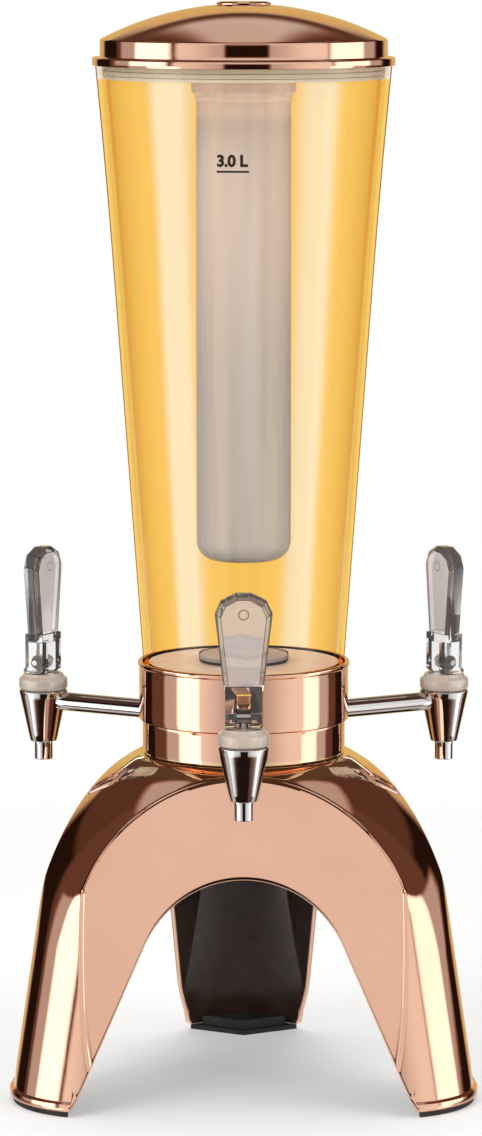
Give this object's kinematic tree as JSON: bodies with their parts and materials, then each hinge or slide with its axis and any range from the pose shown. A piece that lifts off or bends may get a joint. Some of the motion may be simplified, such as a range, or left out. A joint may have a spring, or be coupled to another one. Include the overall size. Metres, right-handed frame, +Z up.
{
  "type": "beer tower dispenser",
  "caption": "Tall tapered clear drink tank with a hanging ice tube under a domed lid, on a three-legged arched base, with lever taps round its collar",
  "frame": {"origin": "On the tower's axis at the level of the surface it stands on.", "axes": "+Z up along the tank's axis, -Y towards the front tap, +X to the right when facing the front tap."},
  "size_m": [0.2602, 0.2879, 0.6035],
  "materials": {
    "rose_gold": "vacuum-plated rose-gold mirror",
    "chrome": "polished chrome",
    "steel": "turned stainless steel",
    "clear_tank": "clear polycarbonate",
    "clear_handle": "clear acrylic, polished facets",
    "frosted_tube": "grey translucent satin",
    "liner_plastic": "natural white moulding",
    "silicone": "soft silicone",
    "black_rubber": "matt black"
  },
  "bodies": {
    "root": {"base_shell": "rose_gold", "foot_pad_1": "black_rubber", "foot_pad_2": "black_rubber", "foot_pad_3": "black_rubber", "clamp_nut": "steel", "manifold": "steel", "collar_lower_ring": "rose_gold", "collar_upper_ring": "rose_gold", "tank_gasket": "black_rubber", "tank": "clear_tank", "outlet_washer": "black_rubber", "outlet_bolt": "steel", "shank_1": "chrome", "shank_washer_1": "black_rubber", "shank_nut_1": "steel", "tap_body_1": "chrome", "nozzle_1": "chrome", "bonnet_1": "clear_handle", "spring_1": "steel", "shank_2": "chrome", "shank_washer_2": "black_rubber", "shank_nut_2": "steel", "tap_body_2": "chrome", "nozzle_2": "chrome", "bonnet_2": "clear_handle", "spring_2": "steel", "shank_3": "chrome", "shank_washer_3": "black_rubber", "shank_nut_3": "steel", "tap_body_3": "chrome", "nozzle_3": "chrome", "bonnet_3": "clear_handle", "spring_3": "steel"},
    "tube": {"ice_tube": "frosted_tube"},
    "lid": {"lid_cover": "rose_gold", "lid_liner": "liner_plastic", "lid_seal": "silicone", "lid_cap": "rose_gold"},
    "stem_1_body": {"stem_1": "steel", "stem_seal_1": "black_rubber"},
    "handle_1_body": {"handle_1": "clear_handle", "pivot_pin_1": "steel"},
    "stem_2_body": {"stem_2": "steel", "stem_seal_2": "black_rubber"},
    "handle_2_body": {"handle_2": "clear_handle", "pivot_pin_2": "steel"},
    "stem_3_body": {"stem_3": "steel", "stem_seal_3": "black_rubber"},
    "handle_3_body": {"handle_3": "clear_handle", "pivot_pin_3": "steel"}
  },
  "joints": [
    {"name": "tube_lift", "type": "slide", "parent": "root", "child": "tube", "axis": [0, 0, 1], "range_m": [0, 0.29]},
    {"name": "lid_unscrew", "type": "slide", "parent": "tube", "child": "lid", "axis": [0, 0, 1], "range_m": [0, 0.06]},
    {"name": "stem_lift_1", "type": "slide", "parent": "root", "child": "stem_1_body", "axis": [0, 0, 1], "range_m": [0, 0.0019], "deforming": ["spring_1"]},
    {"name": "handle_tilt_1", "type": "hinge", "parent": "stem_1_body", "child": "handle_1_body", "pos_m": [0, -0.132, 0.228], "axis": [1, 0, 0], "range_deg": [0, 30], "stiffness_Nm_per_rad": 0.018, "springref_deg": -49.1},
    {"name": "stem_lift_2", "type": "slide", "parent": "root", "child": "stem_2_body", "axis": [0, 0, 1], "range_m": [0, 0.0019], "deforming": ["spring_2"]},
    {"name": "handle_tilt_2", "type": "hinge", "parent": "stem_2_body", "child": "handle_2_body", "pos_m": [0.11431, 0.066, 0.228], "axis": [-0.5, 0.866, 0], "range_deg": [0, 30], "stiffness_Nm_per_rad": 0.018, "springref_deg": -49.1},
    {"name": "stem_lift_3", "type": "slide", "parent": "root", "child": "stem_3_body", "axis": [0, 0, 1], "range_m": [0, 0.0019], "deforming": ["spring_3"]},
    {"name": "handle_tilt_3", "type": "hinge", "parent": "stem_3_body", "child": "handle_3_body", "pos_m": [-0.11431, 0.066, 0.228], "axis": [-0.5, -0.866, 0], "range_deg": [0, 30], "stiffness_Nm_per_rad": 0.018, "springref_deg": -49.1}
  ],
  "couplings": [
    {"joint": "stem_lift_1", "follows": "handle_tilt_1", "m_per_rad": 0.0035},
    {"joint": "stem_lift_2", "follows": "handle_tilt_2", "m_per_rad": 0.0035},
    {"joint": "stem_lift_3", "follows": "handle_tilt_3", "m_per_rad": 0.0035}
  ]
}
